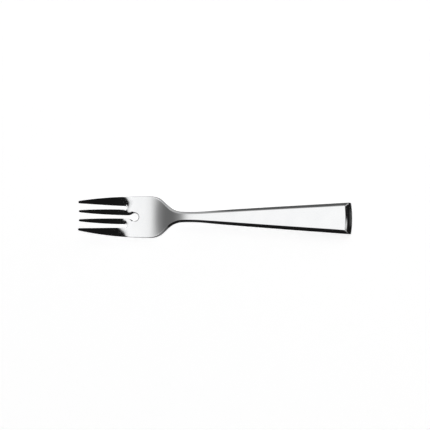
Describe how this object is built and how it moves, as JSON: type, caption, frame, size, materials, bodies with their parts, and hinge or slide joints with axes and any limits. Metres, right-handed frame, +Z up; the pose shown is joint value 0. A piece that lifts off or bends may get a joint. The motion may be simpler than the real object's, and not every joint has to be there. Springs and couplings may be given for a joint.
{
  "type": "fish fork",
  "caption": "Polished steel fish fork: upcurved tines, a keyhole slot, a wide shallow bowl, a narrow neck and a flat faceted hollow handle that widens to a chamfered butt.",
  "frame": {"origin": "on the table that the fork lies on, under the middle of its length and width", "axes": "+X along the fork from the tine tips to the butt, +Y across it, +Z up from the table"},
  "size_m": [0.184, 0.0282, 0.0128],
  "materials": {
    "polished_steel": "polished",
    "handle_cement": "matte"
  },
  "bodies": {
    "root": {"fork_head": "polished_steel", "handle_upper_shell": "polished_steel", "handle_lower_shell": "polished_steel", "handle_cement": "handle_cement"}
  },
  "joints": []
}
